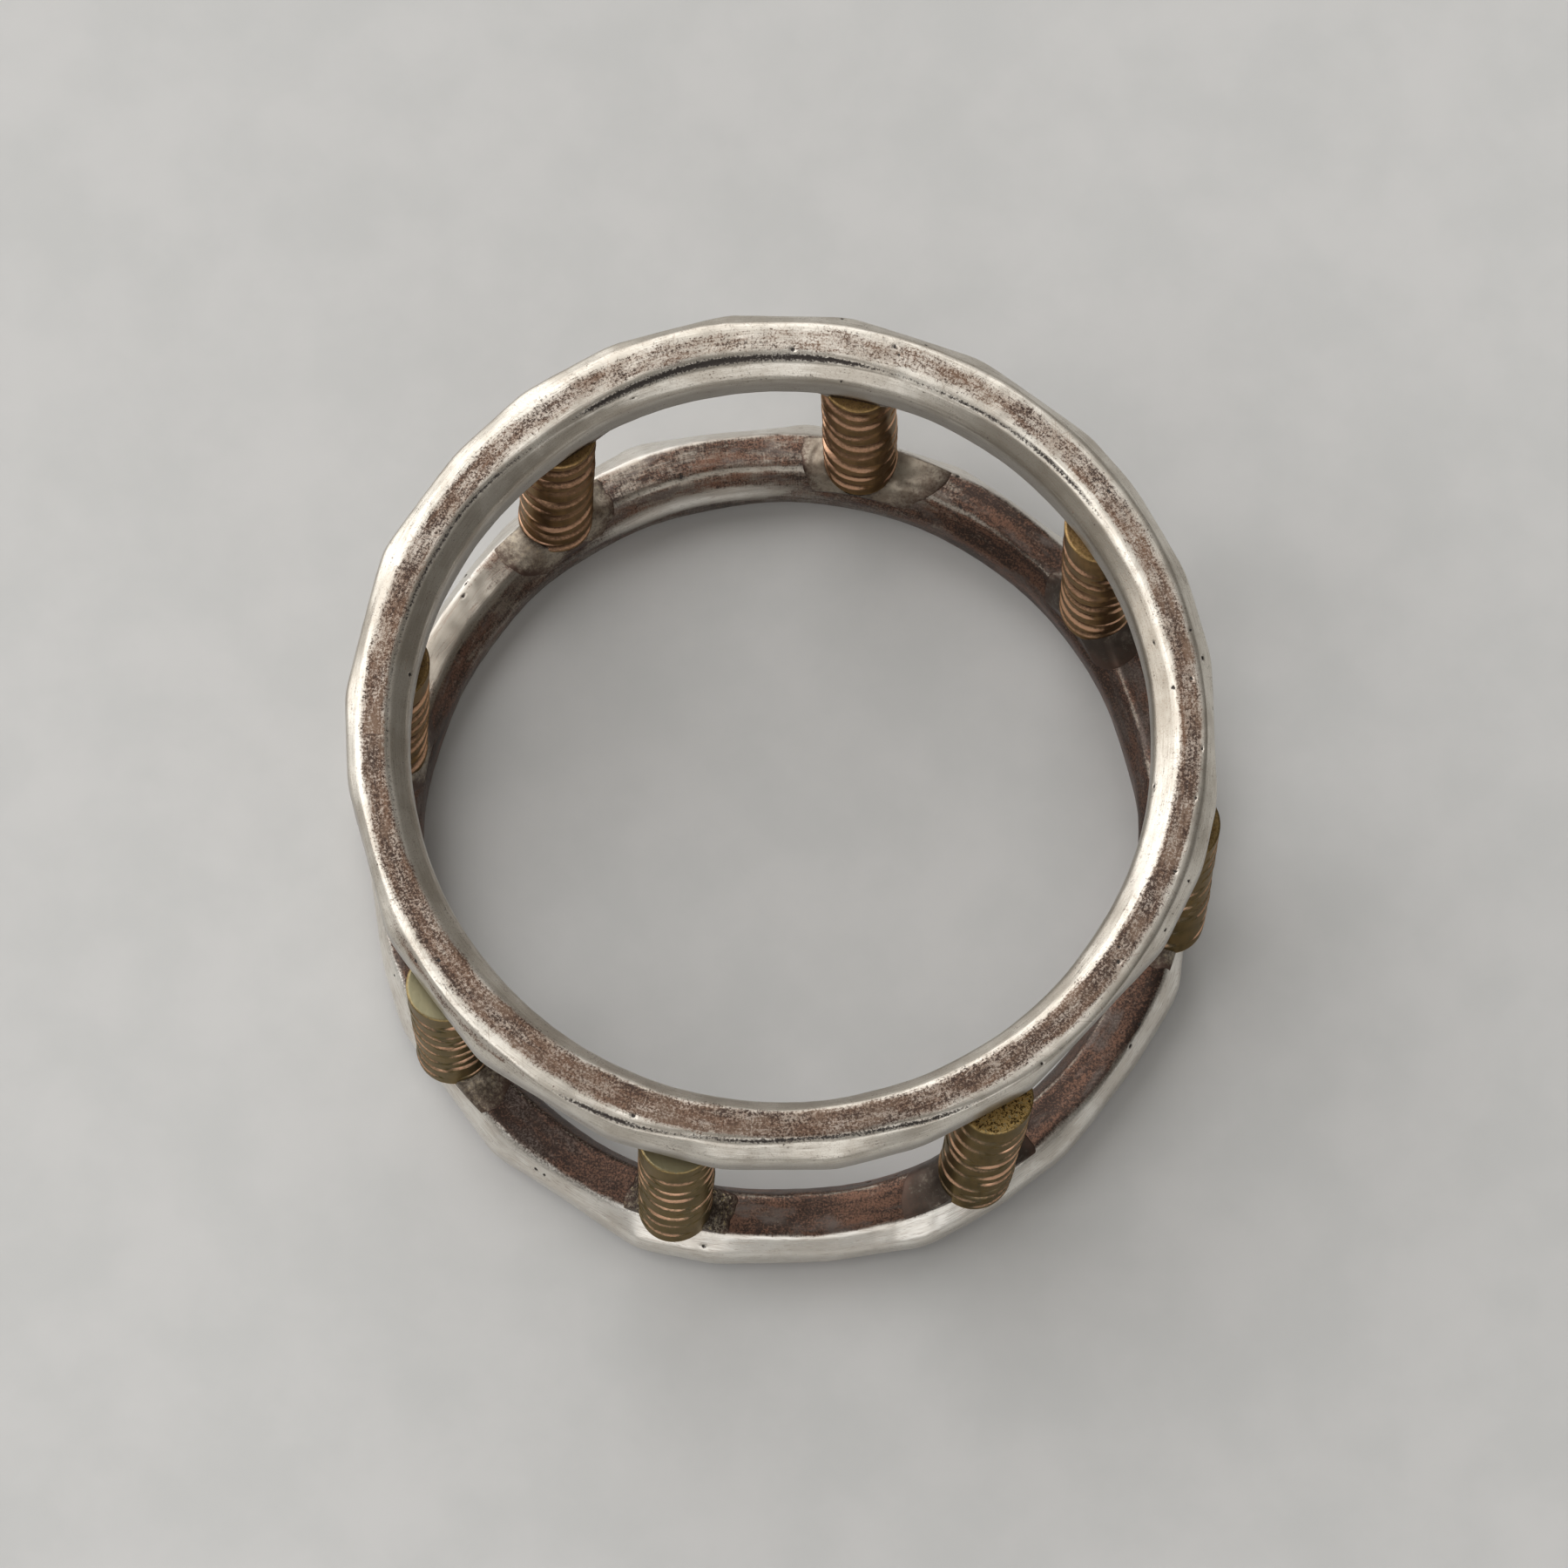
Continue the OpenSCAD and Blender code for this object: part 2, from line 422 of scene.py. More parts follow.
# painted highlight on the lip below each file cut, in a bright copper
PAINTED_LIP_HIGHLIGHT = rgb(0.80, 0.48, 0.31)
HEAD_GOLD = rgb(0.58, 0.38, 0.13)
HEAD_SPECK = rgb(0.045, 0.030, 0.014)
GOLD_EDGE_TINT = rgb(0.58, 0.46, 0.31)
SOLDER_LIGHT = rgb(0.34, 0.295, 0.235)
SOLDER_DARK = rgb(0.24, 0.195, 0.15)
BEAD_GOLD = rgb(0.55, 0.43, 0.22)
BEAD_GAP = rgb(0.035, 0.026, 0.018)
# darkest solder, by the rods and over the darker pools
SOLDER_DARKEST = rgb(0.048, 0.036, 0.030)
SOLDER_RIM = rgb(0.090, 0.058, 0.045)
FLOOR_DARK = rgb(0.57, 0.57, 0.56)
FLOOR_LIGHT = rgb(0.61, 0.605, 0.595)


def gold_material():
    """Olive or coppery alloy; painted shade in dark red-brown in the file cuts and on the heads under the
    upper hoop, and a painted highlight along the cuts' burrs.
    """
    s = Shader("gold_rod")
    place = s.place()
    cloud = s.noise(place, 1.1, 3.0)
    speckle = s.noise(place, 16.0, 4.0, 0.7)
    drawn = s.noise(s.scaled(place, (9.0, 9.0, 1.0)), 1.0, 4.0, 0.6)
    grain = s.attribute("grain")
    tone = s.stepped(s.sum((cloud, 0.6), (drawn, 0.4)), 0.40, 0.60)
    olive = s.mixed(tone, OLIVE_LIGHT, OLIVE_DARK)
    coppery = s.mixed(tone, COPPER_LIGHT, COPPER_DARK)
    colour = s.mixed(s.attribute("warm"), olive, coppery)
    colour = s.mixed(s.math("MULTIPLY", s.attribute("flat"), 0.8), colour, HEAD_FLAT)
    ragged = s.sum((speckle, 1.0), (cloud, 1.2), (-1, 1.1))
    cut = s.math("ADD", s.attribute("cut"), ragged)
    lip = s.math("ADD", s.attribute("lip"), ragged)
    # painted shade in the file cuts and on the heads under the upper hoop
    colour = s.mixed(s.stepped(cut, 0.25, 0.75, 0.0, 0.93), colour, CUT_BROWN_AND_SHADE)
    # painted highlight on the lip below each cut
    colour = s.mixed(s.stepped(lip, 0.30, 0.95, 0.0, 0.88), colour, PAINTED_LIP_HIGHLIGHT)
    colour = s.mixed(s.math("MULTIPLY", grain, s.stepped(speckle, 0.38, 0.44)), colour, HEAD_GOLD)
    colour = s.mixed(s.math("MULTIPLY", grain, s.stepped(speckle, 0.51, 0.56)), colour, HEAD_SPECK)
    s.feed(s.surface.inputs["Specular Tint"], GOLD_EDGE_TINT)
    rough = s.stepped(cut, 0.0, 1.0, 0.29, 0.50)
    grit = s.math("MULTIPLY", speckle, s.math("ADD", grain, 0.15))
    normal = s.bump(grit, 0.6, 0.025, s.bump(drawn, 0.4, 0.008))
    return s.finished(colour, rough, 0.85, normal)


def solder_material():
    """Dull solder, smooth and grey in its pools, granular and dark gold in its beads."""
    s = Shader("solder")
    place = s.place()
    cloud = s.noise(place, 1.9, 4.0, 0.55)
    speckle = s.noise(place, 10.0, 5.0, 0.75)
    grain = s.attribute("grain")
    colour = s.mixed(s.stepped(cloud, 0.40, 0.62), SOLDER_LIGHT, SOLDER_DARK)
    dark_grain = s.math("MULTIPLY", grain, s.stepped(speckle, 0.46, 0.54))
    gold_grain = s.math("MULTIPLY", grain, s.stepped(speckle, 0.36, 0.44, 1.0, 0.0))
    colour = s.mixed(dark_grain, colour, BEAD_GAP)
    colour = s.mixed(gold_grain, colour, BEAD_GOLD)
    dark = s.math("ADD", s.attribute("dark"), s.sum((speckle, 1.0), (cloud, 0.8), (-1, 0.9)))
    # darker by the rod and over the darker pools
    colour = s.mixed(s.stepped(dark, 0.25, 0.85, 0.0, 0.92), colour, SOLDER_DARKEST)
    rim = s.math("ADD", s.attribute("rim"), s.sum((speckle, 1.2), (-1, 0.6)))
    colour = s.mixed(s.stepped(rim, 0.15, 0.75), colour, SOLDER_RIM)
    rough = s.stepped(cloud, 0.3, 0.7, 0.34, 0.50)
    grit = s.math("MULTIPLY", speckle, s.math("ADD", grain, 0.15))
    return s.finished(colour, rough, 0.9, s.bump(grit, 0.6, 0.030))


def floor_material():
    """Pale matt paper, barely clouded."""
    s = Shader("floor_paper")
    cloud = s.noise(s.place(), 0.35, 4.0)
    colour = s.mixed(s.stepped(cloud, 0.3, 0.7), FLOOR_DARK, FLOOR_LIGHT)
    return s.finished(colour, 0.9)


# ---------------------------------------------------------------- the skin of a hoop

HOOP_STEPS = 1200
HOOP_THETA = np.linspace(0, TURN, HOOP_STEPS, endpoint=False)
# Steps along each run of a hoop's section, from the foot of its inner wall up, over and round
RUN_STEPS = {"inner_wall": 22, "inner_bevel": 30, "top": 40, "outer_bevel": 34,
             "outer_wall": 26, "under_bevel": 14, "under": 14, "under_inner": 10}
RUNS = list(RUN_STEPS)
ROUNDING = 4.5          # how many steps each edge of the section is rounded over
ROUNDING_REACH = 14     # how many steps to each side that rounding looks at

# Places of a section's corners, in millimetres
INNER_FOOT_Z = 0.34     # lowest point of the straight inner wall
OUTER_FOOT_Z = 0.50     # lowest point of the straight outer wall
UNDER_BEVEL = 0.50      # how far the underside's flat lies inside the outer wall
UNDER_ROUND = 0.32      # and how far it lies outside the inner wall
TOP_SINK = 0.015        # how far the top lies under the CAD hoop's, which leaves room for its waves
PIT_DEPTH = 0.022


def run_start(name):
    """Index in the section where a run starts."""
    return sum(RUN_STEPS[r] for r in RUNS[: RUNS.index(name)])


def outline_radius(node, theta):
    """Radius of a CAD hoop's outline, seen along the ring's axis, at each angle."""
    flat = [Vector((x, y)) for x, y, _ in node_points(node)]
    hull = np.array([flat[i] for i in convex_hull_2d(flat)])
    edges = np.roll(hull, -1, 0) - hull
    normals = np.stack([edges[:, 1], -edges[:, 0]], -1)
    if (normals * hull).sum() < 0:
        normals = -normals
    reach = (normals * hull).sum(1)[:, None]
    facing = normals @ rotated(theta).T
    return np.where(facing > 1e-9, reach / np.maximum(facing, 1e-9), np.inf).min(0)


def hoop_corners(node, top_in, top_out, outer_drop, inner_drop, seed):
    """Corners of a hoop's section at each angle, in the order of RUNS.

    The top face runs from radius top_in to top_out, and its bevels end inner_drop and outer_drop lower.
    """
    theta = HOOP_THETA
    inner = BORE_R + 0.012 * ripple(theta, seed, 3, 14)
    outer = soften_round(outline_radius(node, theta), 4)
    top = HOOP_H - TOP_SINK + 0.010 * ripple(theta, seed + 1, 4, 18)
    top_in = around(theta, top_in) + 0.016 * ripple(theta, seed + 2, 5, 26)
    top_out = around(theta, top_out) + 0.020 * ripple(theta, seed + 3, 5, 26)
    corners = [
        (inner, INNER_FOOT_Z),
        (inner, HOOP_H - inner_drop),
        (top_in, top),
        (top_out, top),
        (outer, HOOP_H - outer_drop),
        (outer, OUTER_FOOT_Z),
        (outer - UNDER_BEVEL, 0.0),
        (inner + UNDER_ROUND, 0.0),
    ]
    return np.stack([np.stack(np.broadcast_arrays(*corner), -1) for corner in corners], 1)


def section_points(corners):
    """A section's points at every angle: (angles, corners, 2) becomes (angles, steps, 2)."""
    parts = []
    for k, run in enumerate(RUNS):
        t = np.linspace(0, 1, RUN_STEPS[run], endpoint=False)[None, :, None]
        start, end = corners[:, k, None], corners[:, (k + 1) % len(RUNS), None]
        parts.append(start * (1 - t) + end * t)
    sharp = np.concatenate(parts, 1)
    blur = zip(*bell_weights(ROUNDING, ROUNDING_REACH))
    return sum(weight * np.roll(sharp, offset, 1) for offset, weight in blur)


class Hoop:
    """A hoop's skin as arrays over (angle, step round the section).

    patina says where the brown coat is, dark where creases and pits are, the tan values where the metal is
    tarnished and where a dim reflection is painted, and shade where painted shade makes everything darker.
    """

    def __init__(self, corners, base_z):
        self.base_z = base_z
        self.theta = HOOP_THETA
        self.section = section_points(corners)
        gaps = np.linalg.norm(np.diff(self.section, axis=1, append=self.section[:, :1]), axis=2)
        self.along = np.cumsum(gaps, 1) - gaps[:, :1]
        self.angles = np.repeat(self.theta[:, None], self.section.shape[1], 1)
        self.patina = np.zeros_like(self.angles)
        self.dark = np.zeros_like(self.angles)
        self.tarnish_and_dim_reflection = np.zeros_like(self.angles)
        self.shade = np.zeros_like(self.angles)
        ahead = np.roll(self.section, -1, 1) - np.roll(self.section, 1, 1)
        ahead /= np.linalg.norm(ahead, axis=2, keepdims=True)
        self.normal = np.stack([-ahead[..., 1], ahead[..., 0]], -1)

    def from_run(self, name):
        """Distance along the section from the start of a run."""
        return self.along - self.along[:, run_start(name)][:, None]

    def push(self, amount):
        """Moves the skin out along its normal."""
        self.section = self.section + self.normal * amount[..., None]

    def hammer(self, depth, seed, low, high, stretch):
        """Works the skin uneven, with 40 random waves of low to high - 1 turns round the hoop."""
        self.push(depth * dents(self.angles, self.along, seed, 40, low, high, stretch))

    def crease(self, run, mask, width, depth):
        """A dark line along the start of a run."""
        line = bump_at(self.from_run(run), width) * mask[:, None]
        self.push(-depth * line)
        self.dark = np.maximum(self.dark, line)

    def pits(self, seed, count, start, end):
        """Small dark pits on the upper side, between two angles in degrees."""
        rng = np.random.default_rng(seed)
        first, last = run_start("inner_bevel"), run_start("outer_wall")
        for _ in range(count):
            middle = math.radians(rng.uniform(start, end))
            column = rng.integers(first, last)
            size = rng.uniform(0.03, 0.06)
            rows = np.abs(angle_between(self.theta, middle)) < 0.02
            across = angle_between(self.angles[rows], middle) * self.section[rows, :, 0]
            along = self.along[rows] - self.along[rows, column][:, None]
            hole = np.exp(-((across**2 + along**2) / size**2) ** 2)
            self.section[rows] -= self.normal[rows] * (PIT_DEPTH * hole)[..., None]
            self.dark[rows] = np.maximum(self.dark[rows], 0.9 * hole)

    def points(self):
        """The skin's points in the ring's frame, none of them below the face that the hoop rests on."""
        r, z = self.section[..., 0], np.maximum(self.section[..., 1], 0)
        xyz = [r * np.cos(self.angles), r * np.sin(self.angles), z + self.base_z]
        return np.stack(xyz, -1).reshape(-1, 3)

    def face_height(self, x, y, upper):
        """Height of the skin over (x, y), on its upper or under side."""
        rows = np.round(np.arctan2(y, x) % TURN / TURN * HOOP_STEPS).astype(int) % HOOP_STEPS
        radius = np.hypot(x, y)
        if upper:
            part = slice(run_start("inner_bevel") - 8, run_start("outer_wall") + 8)
        else:
            part = slice(run_start("outer_wall") + 16, self.section.shape[1] - 1)
        heights = np.zeros_like(radius)
        for k, row in enumerate(rows):
            r, z = self.section[row, part, 0], self.section[row, part, 1]
            order = np.argsort(r)
            heights[k] = np.interp(radius[k], r[order], z[order])
        return heights + self.base_z

    def piece(self, name, material, node, slot):
        """Makes the hoop's visible piece."""
        faces = grid_faces(HOOP_STEPS, self.section.shape[1], True, True).tolist()
        attributes = {key: getattr(self, key) for key in ("patina", "dark", "tarnish_and_dim_reflection", "shade")}
        return make_piece(name, self.points(), faces, attributes, material, node)


# ---------------------------------------------------------------- the upper hoop

# Each table here is [(degrees from +X, value), ...], and a value eases from one to the next.
# Radii of the edges of the top face
UPPER_TOP_IN = [(0, 9.22), (30, 9.12), (60, 9.06), (90, 9.12), (112, 9.08), (128, 8.98), (134, 9.12),
                (160, 9.18), (200, 9.15), (225, 9.02), (250, 8.95), (280, 8.95), (310, 9.02), (335, 9.15)]
UPPER_TOP_OUT = [(0, 9.90), (30, 9.95), (60, 10.0), (90, 10.0), (120, 9.98), (150, 9.92), (180, 9.85),
                 (205, 9.88), (225, 10.0), (240, 10.05), (250, 9.95), (262, 9.74), (272, 9.66),
                 (284, 9.68), (294, 9.88), (304, 9.98), (325, 9.92)]
# How far below the top the bevels end
UPPER_OUTER_DROP = [(0, 0.44), (60, 0.38), (100, 0.28), (125, 0.25), (155, 0.28), (195, 0.32),
                    (215, 0.37), (235, 0.42), (270, 0.44)]
UPPER_INNER_DROP = 0.42
# Radii of the edges of the brown strip, how much coat it has, and how much painted shade darkens it
STRIP_IN = [(0, 9.30), (90, 9.30), (180, 9.24), (225, 9.05), (270, 8.98), (315, 9.10)]
STRIP_OUT = [(0, 9.78), (90, 9.80), (180, 9.76), (225, 9.72), (270, 9.60), (315, 9.66)]
STRIP_STRENGTH = [(0, 0.72), (35, 0.58), (60, 0.50), (85, 0.40), (110, 0.42), (140, 0.60), (180, 0.68),
                  (240, 0.72), (300, 0.68), (335, 0.72)]
STRIP_SHADE = [(0, 0.12), (90, 0.06), (180, 0.08), (215, 0.18), (245, 0.34), (285, 0.34), (320, 0.20)]


def crease_upper_hoop(hoop):
    """A dark line along the top's inner edge, heaviest at the far side, and one along its outer edge."""
    theta = hoop.theta
    thick = 0.80 + 0.25 * ripple(theta, 51, 3, 20)
    heavy = arc_window(theta, 74, 126, 18)
    far = arc_window(theta, 26, 130, 14) * np.clip(thick, 0.55, 1.0) * (0.64 + 0.36 * heavy)
    left = 0.34 * arc_window(theta, 124, 205, 16) + 0.20 * arc_window(theta, 118, 168, 14)
    near = 0.68 * arc_window(theta, 232, 304, 14) * np.clip(thick, 0.4, 1.1)
    hoop.crease("top", far, width=0.066 + 0.049 * heavy[:, None], depth=0.060)
    hoop.crease("top", left, width=0.060, depth=0.035)
    hoop.crease("outer_bevel", near, width=0.075, depth=0.055)


def coat_upper_hoop(hoop):
    """The brown strip along the top, a streak on the left bevel, and a half-coated underside."""
    theta, radius = hoop.theta, hoop.section[..., 0]
    strip_in, strip_out = around(theta, STRIP_IN)[:, None], around(theta, STRIP_OUT)[:, None]
    strip = smooth_step(-0.12, 0.10, radius - strip_in)
    strip *= 1 - smooth_step(-0.10, 0.14, radius - strip_out)
    strip *= hoop.section[..., 1] > HOOP_H / 2
    under = smooth_step(-0.1, 0.2, hoop.from_run("under_bevel"))
    streak = arc_window(theta, 198, 240, 14)[:, None] * bump_at(hoop.from_run("outer_bevel") - 0.20, 0.12)
    # painted shade over the strip, heaviest on the near side
    hoop.shade = strip * around(theta, STRIP_SHADE)[:, None]
    hoop.patina = np.maximum(strip * around(theta, STRIP_STRENGTH)[:, None], 0.55 * under)
    hoop.patina = np.maximum(hoop.patina, 0.50 * streak)


def tarnish_and_dim_reflection_upper_hoop(hoop):
    """Tan metal on the outer wall, the underside and the bore, and over part of the inner bevel:
    tarnished, and a painted dim reflection.
    """
    theta = hoop.theta
    outside = smooth_step(-0.15, 0.45, hoop.from_run("outer_wall"))
    bore = 1 - smooth_step(-0.25, 0.20, hoop.from_run("inner_bevel"))
    # painted dim reflection on the inner bevel, light on the left and heavy on the right, where it dulls
    # the bevel's bright reflection
    tan_and_dim_side = np.maximum(0.30 * arc_window(theta, 90, 235, 40), 0.85 * arc_window(theta, -14, 75, 25))
    inside_top = 1 - smooth_step(-0.15, 0.0, hoop.from_run("top"))
    hoop.tarnish_and_dim_reflection = np.maximum(np.maximum(outside, bore), tan_and_dim_side[:, None] * inside_top)


def make_upper_hoop():
    """The upper hoop: polished, with two dark creases and a brown strip along its top."""
    drop = around(HOOP_THETA, UPPER_OUTER_DROP)
    corners = hoop_corners("upper_hoop", UPPER_TOP_IN, UPPER_TOP_OUT, drop, UPPER_INNER_DROP, seed=11)
    hoop = Hoop(corners, UPPER_Z)
    hoop.hammer(depth=0.004, seed=21, low=4, high=30, stretch=0.8)
    hoop.hammer(depth=0.0012, seed=22, low=40, high=120, stretch=3.0)
    crease_upper_hoop(hoop)
    hoop.pits(seed=31, count=14, start=0, end=360)
    hoop.pits(seed=32, count=8, start=325, end=372)
    hoop.pits(seed=33, count=7, start=55, end=130)
    coat_upper_hoop(hoop)
    tarnish_and_dim_reflection_upper_hoop(hoop)
    return hoop


# ---------------------------------------------------------------- the lower hoop

# Radii of the edges of the top face
LOWER_TOP_IN = [(0, 9.0), (30, 9.12), (60, 9.18), (90, 9.16), (130, 9.14), (160, 9.05), (200, 8.95),
                (250, 8.92), (300, 8.92), (340, 8.95)]
LOWER_TOP_OUT = [(0, 9.80), (45, 9.92), (90, 10.05), (130, 9.95), (180, 9.75), (225, 9.85), (270, 9.95),
                 (290, 9.95), (315, 9.85)]
# How far below the top the bevels end
LOWER_OUTER_DROP = 0.50
LOWER_INNER_DROP = 0.62
# How much painted shade darkens the upper side, which lies under the upper hoop
LOWER_SHADE = [(0, 0.50), (35, 0.45), (60, 0.15), (85, 0.0), (140, 0.0), (180, 0.2), (215, 1.0),
               (245, 0.85), (262, 0.04), (280, 0.04), (310, 0.45), (340, 0.52)]


def colour_lower_hoop(hoop, post_angles):
    """Brown all over but for its bare outside and, on the far side, a bare lip and a greyer top."""
    theta = hoop.theta
    outer = smooth_step(-0.10, 0.10, hoop.from_run("outer_bevel"))
    outer *= 1 - smooth_step(-0.10, 0.30, hoop.from_run("under_bevel"))
    ridge = 0.5 * bump_at(hoop.from_run("top"), 0.06)
    lip_place = hoop.from_run("inner_bevel")
    lip = smooth_step(-0.30, 0.0, lip_place) * (1 - smooth_step(0.15, 0.42, lip_place))
    lip *= arc_window(theta, 84, 126, 16)[:, None]
    far_side = 0.38 * arc_window(theta, 45, 172, 35)[:, None]
    past_ridge = smooth_step(-0.02, 0.10, hoop.from_run("top"))
    grey_face = 0.55 * arc_window(theta, 128, 172, 16)[:, None] * past_ridge
    hoop.patina = 1 - 0.95 * outer - ridge - lip - (far_side + grey_face) * (1 - outer)
    # tan all over, tarnished and with a painted dim reflection, but for the bare outside and the far lip
    hoop.tarnish_and_dim_reflection = 1 - 0.92 * outer - 0.9 * lip
    # painted shade on the upper side, which lies under the upper hoop: around each rod, and by angle
    near_post = sum(bump_at(angle_between(theta, angle), 0.13) for angle in post_angles)
    upper_side = smooth_step(-0.2, 0.1, hoop.from_run("inner_bevel"))
    upper_side *= 1 - smooth_step(-0.1, 0.25, hoop.from_run("outer_bevel"))
    shade = np.maximum(0.55 * near_post, around(theta, LOWER_SHADE))
    hoop.shade = shade[:, None] * upper_side


def make_lower_hoop(post_angles):
    """The lower hoop: forged rougher, bright outside and brown inside."""
    corners = hoop_corners("lower_hoop", LOWER_TOP_IN, LOWER_TOP_OUT, LOWER_OUTER_DROP,
                           LOWER_INNER_DROP, seed=12)
    hoop = Hoop(corners, 0.0)
    hoop.hammer(depth=0.016, seed=23, low=3, high=20, stretch=1.2)
    hoop.hammer(depth=0.0016, seed=24, low=40, high=140, stretch=3.0)
    hoop.crease("top", 0.25 * arc_window(hoop.theta, 20, 170, 20), width=0.08, depth=0.05)
    hoop.pits(seed=34, count=24, start=0, end=360)
    colour_lower_hoop(hoop, post_angles)
    return hoop


# ---------------------------------------------------------------- rods

ROD_TURN_STEPS = 128
ROD_RISE_STEPS = 300
CAP_RINGS = 12
CUT_SIDES = 4           # the file worked a rod from this many sides
FINGER_SIDE = 2         # the one of them that faces the finger, where the cuts are broad
# How coppery each rod is, from 0, olive, to 1
WARMTH = {1: 1.0, 2: 1.0, 3: 0.8, 4: 0.0, 5: 0.0, 6: 0.15, 7: 0.2, 8: 0.85}
# How granular the head's flat is on the rods that stand out from under the upper hoop
HEAD_GRAIN = {4: 0.0, 5: 0.0, 6: 0.95}
HIDDEN_GRAIN = 0.35     # and on the other rods
HIDDEN_HEAD_SHADE = 0.45     # how much painted shade darkens the head's flat on those, which lie under the upper hoop
END_SLACK = 0.01        # how far from a rod's end a vertex still counts as on it
LAST_CUT = 0.45         # the cuts stop this far below the upper hoop


class Rod:
    """A rod's place, measured on its CAD node."""

    def __init__(self, number):
        self.number = number
        self.node = f"post_{number}"
        points = node_points(self.node)
        self.foot = self.end_middle(points, points[:, 2].min())
        self.head = self.end_middle(points, points[:, 2].max())
        end = points[points[:, 2] < points[:, 2].min() + END_SLACK]
        self.radius = float(np.median(np.linalg.norm(end[:, :2] - self.foot[:2], axis=1)))
        self.angle = math.atan2(self.foot[1] + self.head[1], self.foot[0] + self.head[0])

    @staticmethod
    def end_middle(points, z):
        """Middle of the rod's end at height z."""
        end = points[np.abs(points[:, 2] - z) < END_SLACK]
        return (end.min(0) + end.max(0)) / 2


def file_cuts(rod):
    """The hand-made cuts of a rod, side by side and from the foot up."""
    rng = np.random.default_rng(100 + rod.number)
    cuts = []
    for side in range(CUT_SIDES):
        facing = side * TURN / CUT_SIDES + rng.uniform(-0.25, 0.25)
        height = rng.uniform(0.30, 0.80)
        broad = side == FINGER_SIDE
        while height < GAP_H - LAST_CUT:
            cuts.append({
                "height": height,
                "facing": facing + rng.uniform(-0.30, 0.30),
                "half_span": rng.uniform(0.70, 1.25) + (0.30 if broad else 0.0),
                "slope": rng.uniform(-0.16, 0.16),
                "depth": rng.uniform(0.065, 0.125),
                "width": rng.uniform(0.050, 0.085) * (2.3 if broad else 1.1),
                "shine": rng.uniform(0.50, 1.05),
            })
            height += rng.uniform(0.82, 1.18) if broad else rng.uniform(0.60, 1.20)
    return cuts


def cut_surface(rod, height, turned):
    """A rod's skin over height and angle: how far it is pushed out, where painted shade darkens a cut, and
    where a painted highlight lies on the lip below it.

    Distances from a cut are in cut widths, and the file's burr stands just below the cut.
    """
    push = 0.008 * dents(turned, height, 200 + rod.number, 16, 1, 5, 0.6)
    cut = np.zeros_like(height)
    lip = np.zeros_like(height)
    for c in file_cuts(rod):
        away = angle_between(turned, c["facing"])
        reach = 1 - smooth_step(0.40 * c["half_span"], c["half_span"], np.abs(away))
        distance = (height - c["height"] - c["slope"] * np.sin(away)) / c["width"]
        groove = reach * bump_at(distance, 1.0)
        burr = reach * bump_at(distance + 1.7, 0.7)
        push += 0.20 * c["depth"] * burr - c["depth"] * groove
        # painted shade in each cut, and a painted highlight on the lip below it
        cut = np.maximum(cut, reach * bump_at(distance - 0.2, 0.8))
        lip = np.maximum(lip, c["shine"] * reach * bump_at(distance + 1.15, 0.58))
    return push, cut, lip


def cap_rings(middle, rim):
    """Rings of points that close a rod's end, from its rim in to its middle."""
    return np.array([middle + (rim - middle) * (1 - k / CAP_RINGS) for k in range(1, CAP_RINGS)])


def rod_faces(rows):
    """Faces of a rod whose points are that many rings: its skin, and the last ring of each end."""
    faces = grid_faces(rows, ROD_TURN_STEPS, False, True).tolist()
    last = (rows - 1) * ROD_TURN_STEPS
    faces.append(list(range(ROD_TURN_STEPS))[::-1])
    faces.append([last + k for k in range(ROD_TURN_STEPS)])
    return faces


def rod_attributes(rod, cut, lip):
    """What the gold material reads at each point, over the foot's rings, the skin and the head's rings."""
    blank = np.zeros((CAP_RINGS - 1, ROD_TURN_STEPS))
    head = slice(1 - CAP_RINGS, None)
    edge = np.zeros_like(cut)
    edge[:2] = 0.6
    edge[-2:] = 0.4
    cuts = np.concatenate([blank, cut, blank])
    lips = np.concatenate([blank, lip, blank])
    grain = np.concatenate([blank + 1, edge, blank + HEAD_GRAIN.get(rod.number, HIDDEN_GRAIN)])
    flat = np.zeros_like(grain)
    if rod.number in HEAD_GRAIN:
        flat[head] = 1.0
    else:
        # painted shade on the head's flat, which lies under the upper hoop
        cuts[head] = HIDDEN_HEAD_SHADE
    warm = np.full_like(grain, WARMTH[rod.number])
    return {"cut": cuts, "lip": lips, "grain": grain, "flat": flat, "warm": warm}


def make_rod(rod, material):
    """A file-cut rod, which leans as its CAD rod does."""
    turn = np.linspace(0, TURN, ROD_TURN_STEPS, endpoint=False)
    rise = np.linspace(0, GAP_H, ROD_RISE_STEPS)
    height, turned = np.meshgrid(rise, turn, indexing="ij")
    push, cut, lip = cut_surface(rod, height, turned)
    axis = rod.foot + (rod.head - rod.foot) * (height / GAP_H)[..., None]
    spoke = np.stack([np.cos(turned + rod.angle), np.sin(turned + rod.angle), 0 * turned], -1)
    wall = axis + (rod.radius + push)[..., None] * spoke
    rows = np.concatenate([cap_rings(rod.foot, wall[0])[::-1], wall, cap_rings(rod.head, wall[-1])])
    attributes = rod_attributes(rod, cut, lip)
    return make_piece(f"rod_{rod.number}", rows.reshape(-1, 3), rod_faces(len(rows)), attributes,
                      material, rod.node)


# ---------------------------------------------------------------- solder

SOLDER_TURN_STEPS = 180
SOLDER_RISE_STEPS = 30
UNDER_STRIDE = 4        # the underside has a ring for every so many of the skin's
